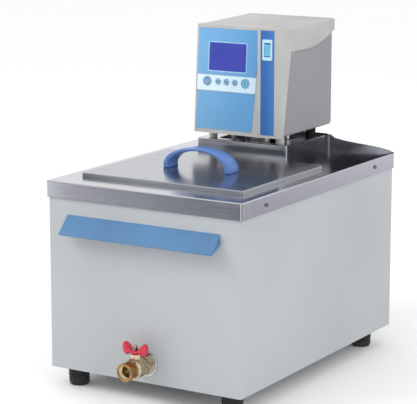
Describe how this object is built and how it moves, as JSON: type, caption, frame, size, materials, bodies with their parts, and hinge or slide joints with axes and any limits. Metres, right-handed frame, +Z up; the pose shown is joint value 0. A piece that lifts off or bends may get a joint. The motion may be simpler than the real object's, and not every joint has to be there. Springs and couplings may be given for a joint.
{
  "type": "heated circulating water bath",
  "caption": "Square-cased laboratory water bath with a lift-off lid, a front drain valve and a controller head that carries the pump and heater.",
  "frame": {"origin": "on the bench, under the middle of the overall box from the drain valve's spout to the hose ports", "axes": "+X to the right seen from the front, +Y to the back, +Z up"},
  "size_m": [0.3236, 0.5394, 0.4984],
  "materials": {
    "casing_paint": "light grey powder coat, satin",
    "zinc_sheet": "zinc-plated sheet",
    "foot_rubber": "matt black rubber",
    "fasteners": "plain zinc-plated steel",
    "bath_steel": "satin stainless steel",
    "mineral_wool": "mineral wool felt",
    "deck_steel": "bright-rolled stainless steel",
    "lid_steel": "bright-rolled stainless steel",
    "grip_blue": "mid blue moulded plastic",
    "handle_blue": "deep blue moulded plastic",
    "nylon_natural": "natural nylon",
    "spacer_rubber": "black rubber",
    "valve_brass": "turned brass",
    "seat_ptfe": "white fluoroplastic",
    "ball_chrome": "chromed ball",
    "lever_red": "red coated die casting",
    "head_grey_dark": "mid grey powder coat",
    "head_grey_light": "light grey moulding",
    "panel_blue": "printed polyester film, sky blue",
    "panel_white": "printed polyester film, pale",
    "display_glass": "tinted display window",
    "board_green": "glass-fibre circuit board",
    "key_grey": "grey-blue key cap",
    "key_teal": "teal key cap",
    "strip_blue": "printed polyester film, deep blue",
    "rocker_pale": "pale blue switch frame",
    "rocker_teal": "translucent teal rocker",
    "motor_aluminium": "cast aluminium",
    "shaft_steel": "ground stainless steel",
    "impeller_plastic": "black glass-filled plastic",
    "port_nickel": "nickel-plated brass",
    "float_white": "white polypropylene",
    "fan_black": "black glass-filled plastic",
    "inlet_black": "black thermoplastic"
  },
  "bodies": {
    "bath": {"outer_casing": "casing_paint", "base_rear_panel": "casing_paint", "base_plate": "zinc_sheet", "feet": "foot_rubber", "foot_screws": "fasteners", "tank": "bath_steel", "insulation_jacket": "mineral_wool", "deck": "deck_steel", "panel_screws": "fasteners", "front_grip": "grip_blue", "rear_grip": "grip_blue", "pedestal": "deck_steel", "front_spacers": "nylon_natural", "rear_spacers": "spacer_rubber", "spacer_screws": "fasteners", "drain_pipe": "bath_steel", "valve_wall_flange": "deck_steel", "valve_body": "valve_brass", "valve_spout": "valve_brass", "valve_seats": "seat_ptfe", "head_chassis": "head_grey_dark", "head_rear_panel": "head_grey_dark", "top_cover": "head_grey_light", "front_bezel": "head_grey_light", "upper_panel": "panel_blue", "key_panel": "panel_white", "lower_panel": "panel_blue", "display_window": "display_glass", "control_board": "board_green", "side_strip": "strip_blue", "rocker_frame": "rocker_pale", "motor_housing": "motor_aluminium", "shaft_bearings": "fasteners", "pump_column": "bath_steel", "pump_housing": "bath_steel", "circulation_pipes": "bath_steel", "hose_ports": "port_nickel", "heater_tube": "bath_steel", "temperature_probe": "bath_steel", "float_stem": "bath_steel", "fan_frame": "fan_black", "power_inlet": "inlet_black", "power_board": "board_green"},
    "lid": {"lid": "lid_steel", "lid_handle": "handle_blue", "lid_handle_screws": "fasteners"},
    "drain_valve": {"valve_ball": "ball_chrome", "valve_stem": "valve_brass", "valve_lever": "lever_red", "lever_nut": "fasteners"},
    "pump_rotor": {"pump_shaft": "shaft_steel", "impeller": "impeller_plastic"},
    "cooling_fan": {"fan_rotor": "fan_black"},
    "float": {"level_float": "float_white"},
    "rocker": {"power_rocker": "rocker_teal"},
    "key_1_cap": {"key_1": "key_grey"},
    "key_2_cap": {"key_2": "key_grey"},
    "key_3_cap": {"key_3": "key_grey"},
    "key_4_cap": {"key_4": "key_grey"},
    "key_5_cap": {"key_5": "key_teal"}
  },
  "joints": [
    {"name": "lid_lift", "type": "slide", "parent": "bath", "child": "lid", "axis": [0, 0, 1], "range_m": [0, 0.22]},
    {"name": "drain_lever_turn", "type": "hinge", "parent": "bath", "child": "drain_valve", "pos_m": [0.005, -0.24125, 0.057], "axis": [0, 0, 1], "range_deg": [0, 90]},
    {"name": "power_rocker_tip", "type": "hinge", "parent": "bath", "child": "rocker", "pos_m": [0.02781, 0.08487, 0.4645], "axis": [0.9949, 0.1008, 0], "range_deg": [-14, 0]},
    {"name": "pump_spin", "type": "hinge", "parent": "bath", "child": "pump_rotor", "pos_m": [-0.025, 0.14875, 0.25], "axis": [0, 0, 1], "continuous": true},
    {"name": "fan_spin", "type": "hinge", "parent": "bath", "child": "cooling_fan", "pos_m": [-0.0535, 0.23425, 0.424], "axis": [0, 1, 0], "continuous": true},
    {"name": "float_rise", "type": "slide", "parent": "bath", "child": "float", "axis": [0, 0, 1], "range_m": [0, 0.012]},
    {"name": "key_1_press", "type": "slide", "parent": "bath", "child": "key_1_cap", "axis": [0, 0.9977, -0.0675], "range_m": [0, 0.001], "stiffness_N_per_m": 600, "springref_m": -0.0005},
    {"name": "key_2_press", "type": "slide", "parent": "bath", "child": "key_2_cap", "axis": [0, 0.9977, -0.0675], "range_m": [0, 0.001], "stiffness_N_per_m": 600, "springref_m": -0.0005},
    {"name": "key_3_press", "type": "slide", "parent": "bath", "child": "key_3_cap", "axis": [0, 0.9977, -0.0675], "range_m": [0, 0.001], "stiffness_N_per_m": 600, "springref_m": -0.0005},
    {"name": "key_4_press", "type": "slide", "parent": "bath", "child": "key_4_cap", "axis": [0, 0.9977, -0.0675], "range_m": [0, 0.001], "stiffness_N_per_m": 600, "springref_m": -0.0005},
    {"name": "key_5_press", "type": "slide", "parent": "bath", "child": "key_5_cap", "axis": [0, 0.9977, -0.0675], "range_m": [0, 0.001], "stiffness_N_per_m": 600, "springref_m": -0.0005}
  ]
}
